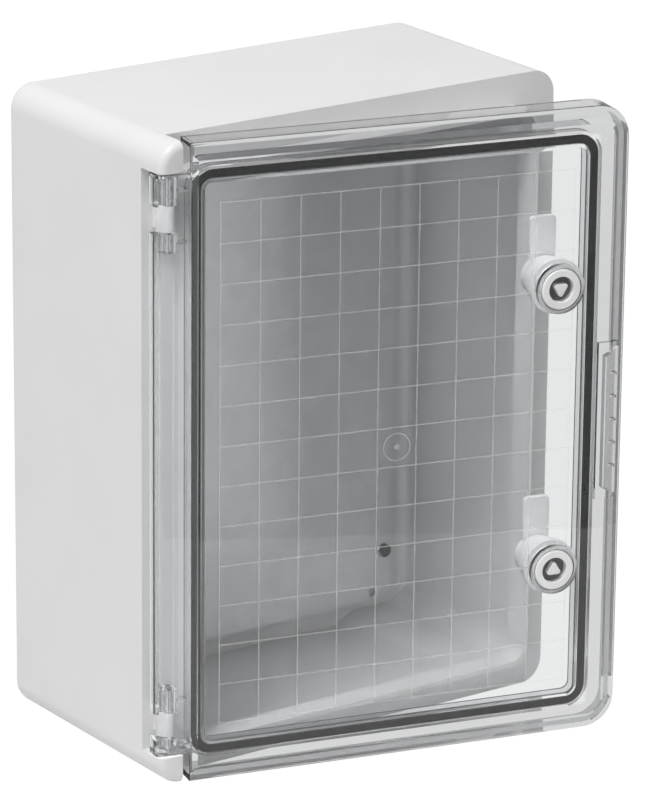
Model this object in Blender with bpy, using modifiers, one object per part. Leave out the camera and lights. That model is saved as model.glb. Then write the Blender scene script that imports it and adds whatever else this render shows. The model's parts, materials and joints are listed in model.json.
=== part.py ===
"""Wall enclosure for electrical fittings, 300 x 400 mm: a grey moulded case with a clear hinged door.

Frame: the origin is the centre of the wall face, +X to the right, +Y into the wall, +Z up. The door is
hinged at the left on two pins and stands ajar at rest. Each of its two locks turns a cam a quarter turn.
"""

import math

import bmesh
import bpy
from mathutils import Vector

# Case
CASE_WIDTH = 0.300
CASE_HEIGHT = 0.400
CASE_DEPTH = 0.148
WALL = 0.003
CORNER_RADIUS = 0.0153
BACK_EDGE_RADIUS = 0.004
INNER_BACK_RADIUS = 0.008
EAR_WIDTH = 0.0155
EAR_HEIGHT = 0.018
EAR_DEPTH = 0.019
EAR_EDGE_RADIUS = 0.005
HINGE_SIDE_RECESS = 0.002
ARC_STEPS = 8

# Opening of the case, and the collar round it that presses into the door's seal
OPENING_SHIFT = 0.0015
SEAL_HALF_WIDTH = 0.126
SEAL_HALF_HEIGHT = 0.1795
SEAL_CORNER = 0.010
COLLAR_THICKNESS = 0.003
COLLAR_REACH = 0.0132

# Corner ledges along the inside of the floor and the roof
LEDGE_INNER = 0.061
LEDGE_SHOULDER = 0.043
LEDGE_HEIGHT = 0.007
LEDGE_FRONT_GAP = 0.018

# Mounting plate and its fixings
PLATE_WIDTH = 0.246
PLATE_HEIGHT = 0.356
PLATE_THICKNESS = 0.002
PLATE_STANDOFF = 0.0195
PLATE_CORNER_CUT = 0.008
PLATE_FIELD_X = 0.100
PLATE_FIELD_Z = 0.130
PLATE_SCREW_X = 0.1172
PLATE_SCREW_Z = 0.145
PLATE_SPARE_X = 0.1084
PLATE_SPARE_Z = 0.1725
PLATE_HOLE_RADIUS = 0.0029
BOSS_RADIUS = 0.0055
PILOT_RADIUS = 0.0023
PILOT_DEPTH = 0.013
WASHER_RADIUS = 0.0052
WASHER_THICKNESS = 0.001
SCREW_RADIUS = 0.0020
SCREW_HEAD_RADIUS = 0.0042
SCREW_HEAD_HEIGHT = 0.0026
SCREW_CROWN_RADIUS = 0.0025
SCREW_SHOULDER_RADIUS = 0.0038
SCREW_CROWN_HEIGHT = 0.0008
SCREW_LENGTH = 0.012

# Wall fixing points: bosses inside, thin knock-out discs outside
KNOCKOUT_X = 0.105
KNOCKOUT_Z = 0.165
KNOCKOUT_RADIUS = 0.0035
KNOCKOUT_DEPTH = 0.002
KNOCKOUT_BOSS_RADIUS = 0.008
KNOCKOUT_BOSS_HEIGHT = 0.005

# Hinge: its axis is vertical, in front of the left rim of the case
HINGE_X = -0.1395
HINGE_REACH = 0.010
OPEN_ANGLE = math.radians(14)
PIN_RADIUS = 0.00175
PIN_HOLE_RADIUS = 0.00205
CASE_KNUCKLE_RADIUS = 0.00375
DOOR_KNUCKLE_RADIUS = 0.0045
DOOR_KNUCKLE_WEB = 0.0072
RIB_THICKNESS = 0.0012
KNUCKLE_ARM_HALF_WIDTH = 0.0025
KNUCKLE_GAP = 0.0003
TOP_HINGE = {"case": (0.1450, 0.1615), "door": ((0.1330, 0.1447), (0.1618, 0.1790))}
BOTTOM_HINGE = {"case": (-0.1704, -0.1545), "door": ((-0.1790, -0.1707), (-0.1542, -0.1395))}
PIN_SPANS = {"top": (0.1336, 0.1776), "bottom": (-0.1776, -0.1401)}

# Door, in its own frame: u along the door from the hinge axis, v backwards, z up
DOOR_LEFT = -0.0105
DOOR_RIGHT = 0.2895
DOOR_HALF_HEIGHT = 0.199
DOOR_NOTCH_U = 0.0109
DOOR_NOTCH_HALF_HEIGHT = 0.181
DOOR_CORNER = 0.020
DOOR_HINGE_EDGE_RADIUS = 0.0055
DOOR_RIM_RADIUS = 0.001
DOOR_LIP_V = -0.009
DOOR_SKIRT_V = 0.0085
DOOR_HINGE_SKIRT_V = 0.0025
DOOR_WALL = 0.003
PANEL_V = -0.012
PANEL_LEFT = 0.012
PANEL_MARGIN = 0.007
CHAMFER = 0.003
CHANNEL_WALL = 0.002
CHANNEL_HALF_GAP = 0.003
CHANNEL_BACK_V = 0.001
SEAL_HALF_THICKNESS = 0.0028
SEAL_BACK_V = -0.0035
GROOVE_FLOOR_V = -0.0072
GAP = 0.0003

# Grip pocket in the door's free edge
GRIP_HALF_HEIGHT = 0.042
GRIP_INNER_U = 0.2765
GRIP_OUTER_U = 0.2862
GRIP_FLOOR_V = -0.0045
GRIP_BEVEL = 0.005
GRIP_RIBS = 5
GRIP_RIB_PITCH = 0.0148

# Locks, as radii and as heights in front of the hinge plane
LOCK_U = 0.2440
LOCK_Z = 0.0895
LOCK_HOLE_RADIUS = 0.0105
BOSS_RING_OUTER = 0.0155
BOSS_RING_INNER = 0.0132
BOSS_RING_TOP = 0.0166
HOUSING_RADIUS = 0.0128
HOUSING_TOP = 0.0172
HOUSING_CHAMFER = 0.0008
GASKET_THICKNESS = 0.0012
HOUSING_BARREL = 0.0102
HOUSING_BACK = -0.0128
RECESS_RADIUS = 0.0080
RECESS_FLOOR = 0.0112
ROTOR_BORE = 0.0050
ROTOR_RADIUS = 0.0047
ROTOR_DISC_RADIUS = 0.0077
ROTOR_DISC_TOP = 0.0125
KEY_SIDE = 0.0106
KEY_TOP = 0.0165
SLEEVE_RADIUS = 0.0172
SLEEVE_RIM = 0.0030
SLEEVE_BACK_RADIUS = 0.0135
SLEEVE_BACK = -0.0122
GASKET_OUTER = 0.0129
CAM_FRONT = -0.0134
CAM_THICKNESS = 0.0035
CAM_HUB_RADIUS = 0.0130
CAM_WIDTH = 0.0170
CAM_REACH = 0.0380
CAM_CORNER = 0.003
SQUARE_SIDE = 0.0064
SQUARE_CLEARANCE = 0.0006
CAM_SCREW_RADIUS = 0.0015
CAM_SCREW_HOLE = 0.0018
CAM_SCREW_DEPTH = 0.009
CAM_SCREW_HEAD_RADIUS = 0.0045
CAM_SCREW_HEAD_HEIGHT = 0.0024
CAM_SCREW_CROWN_RADIUS = 0.0032
CAM_SCREW_CROWN_HEIGHT = 0.0012

RIM_Y = -CASE_DEPTH
HINGE_Y = RIM_Y - HINGE_REACH
PLATE_BACK_Y = -PLATE_STANDOFF
PLATE_FRONT_Y = PLATE_BACK_Y - PLATE_THICKNESS
SEAL_CENTRE_U = OPENING_SHIFT - HINGE_X
ROUND_SIDES = 32
OVERSHOOT = 0.001

COLOURS = {
    "case_abs": ((0.80, 0.80, 0.81, 1.0), 0.45, 0.0),
    "clear_polycarbonate": ((0.86, 0.88, 0.90, 1.0), 0.08, 0.0),
    "seal_foam": ((0.015, 0.015, 0.016, 1.0), 0.75, 0.0),
    "galvanised_steel": ((0.55, 0.56, 0.58, 1.0), 0.38, 1.0),
    "bright_steel": ((0.68, 0.68, 0.70, 1.0), 0.25, 1.0),
    "blackened_steel": ((0.06, 0.06, 0.065, 1.0), 0.35, 1.0),
    "lock_plastic": ((0.72, 0.72, 0.73, 1.0), 0.40, 0.0),
    "gasket_rubber": ((0.02, 0.02, 0.02, 1.0), 0.65, 0.0),
}


def clear_scene():
    for obj in list(bpy.data.objects):
        bpy.data.objects.remove(obj, do_unlink=True)


def new_collection(name):
    collection = bpy.data.collections.new(name)
    bpy.context.scene.collection.children.link(collection)
    return collection


def material(name):
    """A plain finish, made once and shared by the pieces that have it."""
    if name in bpy.data.materials:
        return bpy.data.materials[name]
    colour, roughness, metallic = COLOURS[name]
    made = bpy.data.materials.new(name)
    made.use_nodes = True
    shader = made.node_tree.nodes["Principled BSDF"]
    shader.inputs["Base Color"].default_value = colour
    shader.inputs["Roughness"].default_value = roughness
    shader.inputs["Metallic"].default_value = metallic
    return made


def arc(centre, radius, start_degrees, sweep_degrees=90, steps=ARC_STEPS):
    """Points on an arc in the front view, both ends included."""
    points = []
    for step in range(steps + 1):
        angle = math.radians(start_degrees + sweep_degrees * step / steps)
        points.append((centre[0] + radius * math.cos(angle), centre[1] + radius * math.sin(angle)))
    return points


def rounded_rectangle(left, right, bottom, top, radius):
    """Outline in the front view, anticlockwise from the right end of the top right corner."""
    return (
        arc((right - radius, top - radius), radius, 0)
        + arc((left + radius, top - radius), radius, 90)
        + arc((left + radius, bottom + radius), radius, 180)
        + arc((right - radius, bottom + radius), radius, 270)
    )


def circle(x, z, radius, sides=ROUND_SIDES):
    return [
        (x + radius * math.cos(2 * math.pi * k / sides), z + radius * math.sin(2 * math.pi * k / sides))
        for k in range(sides)
    ]


def add_object(name, mesh, collection, parent=None):
    obj = bpy.data.objects.new(name, mesh)
    collection.objects.link(obj)
    obj.parent = parent
    return obj


def slab_mesh(name, outline, front, back, front_round=0.0, back_round=0.0, segments=3):
    """A front-view outline carried from front to back in depth, with rounded rims if asked."""
    shape = bmesh.new()
    corners = [shape.verts.new((x, front, z)) for x, z in outline]
    face = shape.faces.new(corners)
    grown = bmesh.ops.extrude_face_region(shape, geom=[face])
    moved = [item for item in grown["geom"] if isinstance(item, bmesh.types.BMVert)]
    bmesh.ops.translate(shape, verts=moved, vec=Vector((0, back - front, 0)))
    bmesh.ops.recalc_face_normals(shape, faces=shape.faces)
    for depth, rounding in ((front, front_round), (back, back_round)):
        if rounding:
            rim = [e for e in shape.edges if all(abs(v.co.y - depth) < 1e-6 for v in e.verts)]
            bmesh.ops.bevel(
                shape, geom=rim, offset=rounding, segments=segments, profile=0.5, affect="EDGES"
            )
    bmesh.ops.triangulate(shape, faces=[f for f in shape.faces if len(f.verts) > 4])
    mesh = bpy.data.meshes.new(name)
    shape.to_mesh(mesh)
    shape.free()
    return mesh


def ring_mesh(name, outer, inner, front, back):
    """The wall between two outlines of equally many points, from front to back in depth."""
    shape = bmesh.new()
    loops = [
        [shape.verts.new((x, depth, z)) for x, z in outline]
        for outline, depth in ((outer, front), (outer, back), (inner, back), (inner, front))
    ]
    count = len(outer)
    for here, there in zip(loops, loops[1:] + loops[:1]):
        for k in range(count):
            shape.faces.new((here[k], here[(k + 1) % count], there[(k + 1) % count], there[k]))
    bmesh.ops.recalc_face_normals(shape, faces=shape.faces)
    mesh = bpy.data.meshes.new(name)
    shape.to_mesh(mesh)
    shape.free()
    return mesh


def box_mesh(name, low, high):
    shape = bmesh.new()
    bmesh.ops.create_cube(shape, size=1.0)
    low, high = Vector(low), Vector(high)
    bmesh.ops.scale(shape, vec=high - low, verts=shape.verts)
    bmesh.ops.translate(shape, vec=(low + high) / 2, verts=shape.verts)
    mesh = bpy.data.meshes.new(name)
    shape.to_mesh(mesh)
    shape.free()
    return mesh


def upright_mesh(name, outline, bottom, top):
    """A plan-view outline carried from the height bottom to the height top."""
    shape = bmesh.new()
    face = shape.faces.new([shape.verts.new((x, y, bottom)) for x, y in outline])
    grown = bmesh.ops.extrude_face_region(shape, geom=[face])
    moved = [item for item in grown["geom"] if isinstance(item, bmesh.types.BMVert)]
    bmesh.ops.translate(shape, verts=moved, vec=Vector((0, 0, top - bottom)))
    bmesh.ops.recalc_face_normals(shape, faces=shape.faces)
    mesh = bpy.data.meshes.new(name)
    shape.to_mesh(mesh)
    shape.free()
    return mesh


def post_mesh(name, x, y, bottom, top, radius, sides=ROUND_SIDES):
    """An upright cylinder."""
    shape = bmesh.new()
    bmesh.ops.create_cone(
        shape, cap_ends=True, segments=sides, radius1=radius, radius2=radius, depth=top - bottom
    )
    bmesh.ops.translate(shape, vec=Vector((x, y, (bottom + top) / 2)), verts=shape.verts)
    mesh = bpy.data.meshes.new(name)
    shape.to_mesh(mesh)
    shape.free()
    return mesh


def turned(name, profile, collection, parent, finish=None):
    """A turned piece: a profile of radius and height, down its outer side, spun about the parent's Z."""
    shape = bmesh.new()
    points = [shape.verts.new((radius, 0, height)) for radius, height in profile]
    for here, there in zip(points, points[1:]):
        shape.edges.new((here, there))
    if profile[0][0] > 0:
        shape.edges.new((points[-1], points[0]))
    mesh = bpy.data.meshes.new(name)
    shape.to_mesh(mesh)
    shape.free()
    obj = add_object(name, mesh, collection, parent)
    screw = obj.modifiers.new("Turn", "SCREW")
    screw.steps = ROUND_SIDES
    screw.render_steps = ROUND_SIDES
    screw.use_merge_vertices = True
    screw.merge_threshold = 0.00001
    screw.use_smooth_shade = True
    if finish:
        mesh.materials.append(material(finish))
    return obj


def combine(target, operation, mesh, cutters):
    """Joins a helper shape to the target, or cuts or keeps what it covers."""
    helper = add_object(mesh.name, mesh, cutters, target.parent)
    helper.location = target.location
    helper.rotation_euler = target.rotation_euler
    combine_object(target, operation, helper)
    return helper


def combine_object(target, operation, helper):
    helper.hide_render = True
    helper.display_type = "WIRE"
    step = target.modifiers.new(f"{operation.title()} {helper.name}", "BOOLEAN")
    step.operation = operation
    step.solver = "EXACT"
    step.object = helper


def finish_piece(obj, finish, sharp_degrees=35):
    obj.data.materials.clear()
    obj.data.materials.append(material(finish))
    obj.data.shade_smooth()
    obj.data.set_sharp_from_angle(angle=math.radians(sharp_degrees))


def seal_outline(offset, centre_x):
    """The seal's centre line, moved outwards by offset."""
    half_width = SEAL_HALF_WIDTH + offset
    half_height = SEAL_HALF_HEIGHT + offset
    return rounded_rectangle(
        centre_x - half_width, centre_x + half_width, -half_height, half_height, SEAL_CORNER + offset
    )


def case_outline(inset=0.0):
    half_width, half_height = CASE_WIDTH / 2 - inset, CASE_HEIGHT / 2 - inset
    return rounded_rectangle(-half_width, half_width, -half_height, half_height, CORNER_RADIUS - inset)


def make_case_shell(parts, cutters):
    """The box with its thin walls, its front flange, and the collar that enters the seal."""
    case = add_object(
        "enclosure_body",
        slab_mesh("enclosure_body", case_outline(), RIM_Y, 0.0, back_round=BACK_EDGE_RADIUS),
        parts,
    )
    cavity = slab_mesh(
        "case_cavity", case_outline(WALL), RIM_Y + WALL, -WALL, back_round=INNER_BACK_RADIUS
    )
    combine(case, "DIFFERENCE", cavity, cutters)
    flange_strip = box_mesh(
        "hinge_side_strip",
        (-CASE_WIDTH / 2 + WALL / 2, RIM_Y + WALL / 2, -CASE_HEIGHT / 2 + CORNER_RADIUS),
        (-SEAL_HALF_WIDTH, RIM_Y + WALL + HINGE_SIDE_RECESS, CASE_HEIGHT / 2 - CORNER_RADIUS),
    )
    combine(case, "UNION", flange_strip, cutters)
    half_collar = COLLAR_THICKNESS / 2
    collar = ring_mesh(
        "seal_collar",
        seal_outline(half_collar, OPENING_SHIFT),
        seal_outline(-half_collar - OVERSHOOT, OPENING_SHIFT),
        RIM_Y - COLLAR_REACH,
        RIM_Y + WALL / 2,
    )
    combine(case, "UNION", collar, cutters)
    opening = slab_mesh(
        "case_opening",
        seal_outline(-half_collar, OPENING_SHIFT),
        RIM_Y - COLLAR_REACH - OVERSHOOT,
        RIM_Y + WALL + HINGE_SIDE_RECESS + OVERSHOOT,
    )
    combine(case, "DIFFERENCE", opening, cutters)
    return case


def add_ears(case, cutters):
    """Two solid corner pieces at the left that the door swings between, flush with its front."""
    for side, name in ((1, "ear_top"), (-1, "ear_bottom")):
        ear_mesh = slab_mesh(
            name,
            case_outline(),
            RIM_Y - EAR_DEPTH,
            RIM_Y + WALL / 2,
            front_round=EAR_EDGE_RADIUS,
            segments=4,
        )
        ear = combine(case, "UNION", ear_mesh, cutters)
        edges = sorted((side * (CASE_HEIGHT / 2 - EAR_HEIGHT), side * CASE_HEIGHT))
        corner = box_mesh(
            name + "_corner",
            (-CASE_WIDTH, RIM_Y - CASE_DEPTH, edges[0]),
            (-CASE_WIDTH / 2 + EAR_WIDTH, 0.0, edges[1]),
        )
        combine(ear, "INTERSECT", corner, cutters)


def add_hinge_side(case, cutters):
    """The flange stands back between the ears, and carries an arm with a knuckle for each pin."""
    recess = box_mesh(
        "hinge_side_recess",
        (-CASE_WIDTH, RIM_Y - OVERSHOOT / 2, -CASE_HEIGHT / 2 + EAR_HEIGHT),
        (HINGE_X + DOOR_NOTCH_U, RIM_Y + HINGE_SIDE_RECESS, CASE_HEIGHT / 2 - EAR_HEIGHT),
    )
    combine(case, "DIFFERENCE", recess, cutters)
    for name, (bottom, top) in (("top", TOP_HINGE["case"]), ("bottom", BOTTOM_HINGE["case"])):
        arm = box_mesh(
            f"knuckle_arm_{name}",
            (HINGE_X - KNUCKLE_ARM_HALF_WIDTH, HINGE_Y, bottom),
            (HINGE_X + KNUCKLE_ARM_HALF_WIDTH, RIM_Y + HINGE_SIDE_RECESS + WALL / 2, top),
        )
        combine(case, "UNION", arm, cutters)
        knuckle = post_mesh(f"case_knuckle_{name}", HINGE_X, HINGE_Y, bottom, top, CASE_KNUCKLE_RADIUS)
        combine(case, "UNION", knuckle, cutters)
        hole = post_mesh(
            f"case_pin_hole_{name}",
            HINGE_X,
            HINGE_Y,
            bottom - OVERSHOOT,
            top + OVERSHOOT,
            PIN_HOLE_RADIUS,
        )
        combine(case, "DIFFERENCE", hole, cutters)


def ledge_outline(side_x, side_z):
    """Section of a corner ledge: a ramp up, a flat top, and a fillet into the side wall."""
    half_width = CASE_WIDTH / 2 - WALL / 2
    half_height = CASE_HEIGHT / 2 - WALL / 2
    top = CASE_HEIGHT / 2 - WALL - LEDGE_HEIGHT
    fillet = CORNER_RADIUS
    inner_x = CASE_WIDTH / 2 - WALL - fillet
    corner = (CASE_WIDTH / 2 - CORNER_RADIUS, CASE_HEIGHT / 2 - CORNER_RADIUS)
    section = arc(corner, CORNER_RADIUS - WALL / 2, 0)
    section += [
        (CASE_WIDTH / 2 - LEDGE_INNER, half_height),
        (CASE_WIDTH / 2 - LEDGE_INNER, CASE_HEIGHT / 2 - WALL),
        (CASE_WIDTH / 2 - LEDGE_SHOULDER, top),
    ]
    section += arc((inner_x, top - fillet), fillet, 90, -90)
    section.append((half_width, top - fillet))
    return [(side_x * x, side_z * z) for x, z in section]


def add_ledges(case, cutters):
    sides = ((1, -1, "low_right"), (-1, -1, "low_left"), (1, 1, "up_right"), (-1, 1, "up_left"))
    for side_x, side_z, name in sides:
        outline = ledge_outline(side_x, side_z)
        ledge = slab_mesh(f"ledge_{name}", outline, RIM_Y + LEDGE_FRONT_GAP, -WALL / 2)
        combine(case, "UNION", ledge, cutters)


def corners_of(x, z):
    """The four places of a part that is repeated at the corners, with their names."""
    return ((-x, z, "top_left"), (x, z, "top_right"), (-x, -z, "bottom_left"), (x, -z, "bottom_right"))


def add_back_bosses(case, cutters):
    """Pillars that the mounting plate is screwed to, and the wall fixings with their knock-outs."""
    for x, z, name in corners_of(PLATE_SCREW_X, PLATE_SCREW_Z):
        face_y = PLATE_BACK_Y + GAP
        pillar = slab_mesh(f"plate_boss_{name}", circle(x, z, BOSS_RADIUS, 24), face_y, -WALL / 2)
        combine(case, "UNION", pillar, cutters)
        pilot = slab_mesh(
            f"plate_pilot_{name}",
            circle(x, z, PILOT_RADIUS, 16),
            face_y - OVERSHOOT,
            face_y + PILOT_DEPTH,
        )
        combine(case, "DIFFERENCE", pilot, cutters)
    for x, z, name in corners_of(KNOCKOUT_X, KNOCKOUT_Z):
        boss = slab_mesh(
            f"wall_boss_{name}",
            circle(x, z, KNOCKOUT_BOSS_RADIUS, 24),
            -WALL - KNOCKOUT_BOSS_HEIGHT,
            -WALL / 2,
        )
        combine(case, "UNION", boss, cutters)
        recess = slab_mesh(
            f"knockout_{name}", circle(x, z, KNOCKOUT_RADIUS, 24), -KNOCKOUT_DEPTH, OVERSHOOT
        )
        combine(case, "DIFFERENCE", recess, cutters)


def make_case(parts, cutters):
    case = make_case_shell(parts, cutters)
    add_ears(case, cutters)
    add_hinge_side(case, cutters)
    add_ledges(case, cutters)
    add_back_bosses(case, cutters)
    finish_piece(case, "case_abs")


def split_faces(mesh, half_width, half_height):
    """Cuts a mesh's faces along four lines, so that the field between them has faces of its own."""
    shape = bmesh.new()
    shape.from_mesh(mesh)
    for place in ((half_width, 0, 0), (-half_width, 0, 0), (0, 0, half_height), (0, 0, -half_height)):
        everything = shape.verts[:] + shape.edges[:] + shape.faces[:]
        bmesh.ops.bisect_plane(shape, geom=everything, plane_co=place, plane_no=place)
    shape.to_mesh(mesh)
    shape.free()


def make_mounting_plate(parts, cutters):
    """A flat sheet whose middle, where devices are screwed on, is clear of the holes round its edge."""
    half_width, half_height, cut = PLATE_WIDTH / 2, PLATE_HEIGHT / 2, PLATE_CORNER_CUT
    outline = [
        (half_width, half_height - cut),
        (half_width - cut, half_height),
        (cut - half_width, half_height),
        (-half_width, half_height - cut),
        (-half_width, cut - half_height),
        (cut - half_width, -half_height),
        (half_width - cut, -half_height),
        (half_width, cut - half_height),
    ]
    plate = add_object(
        "mounting_plate", slab_mesh("mounting_plate", outline, PLATE_FRONT_Y, PLATE_BACK_Y), parts
    )
    split_faces(plate.data, PLATE_FIELD_X, PLATE_FIELD_Z)
    holes = corners_of(PLATE_SCREW_X, PLATE_SCREW_Z) + corners_of(PLATE_SPARE_X, PLATE_SPARE_Z)
    for number, (x, z, name) in enumerate(holes):
        hole = slab_mesh(
            f"plate_hole_{number}_{name}",
            circle(x, z, PLATE_HOLE_RADIUS, 24),
            PLATE_FRONT_Y - OVERSHOOT,
            PLATE_BACK_Y + OVERSHOOT,
        )
        combine(plate, "DIFFERENCE", hole, cutters)
    finish_piece(plate, "galvanised_steel")


def axis_empty(name, parts, location, rotation, parent=None):
    """An empty whose Z is the axis of what it carries."""
    empty = add_object(name, None, parts, parent)
    empty.location = location
    empty.rotation_euler = rotation
    return empty


def make_plate_fixings(parts):
    """A washer and a pan-head screw at each corner of the plate; heights are in front of the plate."""
    for x, z, name in corners_of(PLATE_SCREW_X, PLATE_SCREW_Z):
        seat = axis_empty(f"plate_screw_axis_{name}", parts, (x, PLATE_FRONT_Y, z), (math.pi / 2, 0, 0))
        washer_top = GAP + WASHER_THICKNESS
        turned(
            f"plate_washer_{name}",
            [
                (WASHER_RADIUS, washer_top),
                (WASHER_RADIUS, GAP),
                (PLATE_HOLE_RADIUS, GAP),
                (PLATE_HOLE_RADIUS, washer_top),
            ],
            parts,
            seat,
            "bright_steel",
        )
        head_low = washer_top + GAP
        head_top = head_low + SCREW_HEAD_HEIGHT
        turned(
            f"plate_screw_{name}",
            [
                (0, head_top),
                (SCREW_CROWN_RADIUS, head_top),
                (SCREW_SHOULDER_RADIUS, head_top - SCREW_CROWN_HEIGHT),
                (SCREW_HEAD_RADIUS, head_low + SCREW_CROWN_HEIGHT),
                (SCREW_HEAD_RADIUS, head_low),
                (SCREW_RADIUS, head_low),
                (SCREW_RADIUS, head_low - SCREW_LENGTH),
                (0, head_low - SCREW_LENGTH),
            ],
            parts,
            seat,
            "blackened_steel",
        )


def door_outline(inset):
    """Outline of the door: full height to the right of the ears, shorter beside the hinge."""
    right, top = DOOR_RIGHT - inset, DOOR_HALF_HEIGHT - inset
    notch, low = DOOR_NOTCH_U + inset, DOOR_NOTCH_HALF_HEIGHT - inset
    left = DOOR_LEFT + inset
    radius = DOOR_CORNER - inset
    return (
        arc((right - radius, top - radius), radius, 0)
        + [(notch, top), (notch, low), (left, low), (left, -low), (notch, -low), (notch, -top)]
        + arc((right - radius, radius - top), radius, 270)
    )


def panel_outline(inset):
    """Outline of the door's raised panel, moved inwards by inset: its right corners are round."""
    edge = PANEL_MARGIN + inset
    right, top = DOOR_RIGHT - edge, DOOR_HALF_HEIGHT - edge
    left = PANEL_LEFT + inset
    radius = DOOR_CORNER - edge
    return (
        arc((right - radius, top - radius), radius, 0)
        + [(left, top), (left, -top)]
        + arc((right - radius, radius - top), radius, 270)
    )


def loft_mesh(name, front_outline, front, back_outline, back):
    """A solid between two outlines of the same number of points at two depths."""
    shape = bmesh.new()
    near = [shape.verts.new((x, front, z)) for x, z in front_outline]
    far = [shape.verts.new((x, back, z)) for x, z in back_outline]
    shape.faces.new(near)
    shape.faces.new(far)
    count = len(near)
    for k in range(count):
        shape.faces.new((near[k], near[(k + 1) % count], far[(k + 1) % count], far[k]))
    bmesh.ops.recalc_face_normals(shape, faces=shape.faces)
    bmesh.ops.triangulate(shape, faces=[f for f in shape.faces if len(f.verts) > 4])
    mesh = bpy.data.meshes.new(name)
    shape.to_mesh(mesh)
    shape.free()
    return mesh


def make_door_shell(parts, cutters, axis):
    """The clear moulding: a lip all round, a raised panel, and a skirt that reaches back to the case."""
    door = add_object(
        "door",
        slab_mesh(
            "door", door_outline(0.0), DOOR_LIP_V, DOOR_SKIRT_V, front_round=DOOR_RIM_RADIUS, segments=2
        ),
        parts,
        axis,
    )
    radius = DOOR_HINGE_EDGE_RADIUS
    waste = arc((DOOR_LEFT + radius, DOOR_LIP_V + radius), radius, 180)
    waste += [
        (DOOR_LEFT + radius, DOOR_LIP_V - OVERSHOOT),
        (DOOR_LEFT - OVERSHOOT, DOOR_LIP_V - OVERSHOOT),
        (DOOR_LEFT - OVERSHOOT, DOOR_LIP_V + radius),
    ]
    hinge_edge = upright_mesh("door_hinge_edge", waste, -DOOR_HALF_HEIGHT, DOOR_HALF_HEIGHT)
    combine(door, "DIFFERENCE", hinge_edge, cutters)
    base_v = DOOR_LIP_V + OVERSHOOT
    panel = loft_mesh("door_panel", panel_outline(CHAMFER), PANEL_V, panel_outline(-OVERSHOOT), base_v)
    combine(door, "UNION", panel, cutters)
    hollow_v = DOOR_LIP_V + DOOR_WALL
    hollow = slab_mesh("door_hollow", door_outline(DOOR_WALL), hollow_v, DOOR_SKIRT_V + OVERSHOOT)
    combine(door, "DIFFERENCE", hollow, cutters)
    pocket_v = PANEL_V + DOOR_WALL
    window = seal_outline(-CHANNEL_HALF_GAP - CHANNEL_WALL, SEAL_CENTRE_U)
    pocket = slab_mesh("door_window", window, pocket_v, hollow_v + OVERSHOOT)
    combine(door, "DIFFERENCE", pocket, cutters)
    skirt_cut = box_mesh(
        "hinge_skirt_cut",
        (DOOR_LEFT - OVERSHOOT, DOOR_HINGE_SKIRT_V, -DOOR_HALF_HEIGHT),
        (0.0, DOOR_SKIRT_V + OVERSHOOT, DOOR_HALF_HEIGHT),
    )
    combine(door, "DIFFERENCE", skirt_cut, cutters)
    return door


def add_seal_channel(door, cutters):
    """Two walls that hold the seal between them, all round the panel."""
    for side, name in ((1, "outer"), (-1, "inner")):
        near = CHANNEL_HALF_GAP
        far = CHANNEL_HALF_GAP + CHANNEL_WALL
        wall = ring_mesh(
            f"channel_wall_{name}",
            seal_outline(far if side > 0 else -near, SEAL_CENTRE_U),
            seal_outline(near if side > 0 else -far, SEAL_CENTRE_U),
            DOOR_LIP_V + DOOR_WALL - OVERSHOOT,
            CHANNEL_BACK_V,
        )
        combine(door, "UNION", wall, cutters)
    groove = ring_mesh(
        "seal_groove",
        seal_outline(CHANNEL_HALF_GAP, SEAL_CENTRE_U),
        seal_outline(-CHANNEL_HALF_GAP, SEAL_CENTRE_U),
        GROOVE_FLOOR_V,
        DOOR_LIP_V + DOOR_WALL + OVERSHOOT,
    )
    combine(door, "DIFFERENCE", groove, cutters)


def add_door_hinges(door, cutters):
    """Knuckles on the back of the door, slots that the case's knuckles turn in, and small ribs."""
    front_v = DOOR_LIP_V + DOOR_WALL / 2
    for name, hinge in (("top", TOP_HINGE), ("bottom", BOTTOM_HINGE)):
        slot_low, slot_high = hinge["case"]
        slot = box_mesh(
            f"knuckle_slot_{name}",
            (DOOR_LEFT - OVERSHOOT, DOOR_LIP_V + DOOR_WALL, slot_low - KNUCKLE_GAP),
            (DOOR_LEFT + DOOR_WALL + OVERSHOOT, DOOR_SKIRT_V, slot_high + KNUCKLE_GAP),
        )
        combine(door, "DIFFERENCE", slot, cutters)
        for number, (bottom, top) in enumerate(hinge["door"]):
            web = box_mesh(
                f"door_knuckle_web_{name}_{number}",
                (-DOOR_KNUCKLE_WEB / 2, front_v, bottom),
                (DOOR_KNUCKLE_WEB / 2, 0.0, top),
            )
            combine(door, "UNION", web, cutters)
            knuckle = post_mesh(f"door_knuckle_{name}_{number}", 0, 0, bottom, top, DOOR_KNUCKLE_RADIUS)
            combine(door, "UNION", knuckle, cutters)
            rib_z = (top + bottom) / 2
            rib = box_mesh(
                f"hinge_rib_{name}_{number}",
                (DOOR_KNUCKLE_RADIUS / 2, front_v, rib_z - RIB_THICKNESS / 2),
                (DOOR_NOTCH_U, CHANNEL_BACK_V - OVERSHOOT, rib_z + RIB_THICKNESS / 2),
            )
            combine(door, "UNION", rib, cutters)
        low, high = PIN_SPANS[name]
        hole = post_mesh(f"door_pin_hole_{name}", 0, 0, low - GAP, high + GAP, PIN_HOLE_RADIUS)
        combine(door, "DIFFERENCE", hole, cutters)


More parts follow.
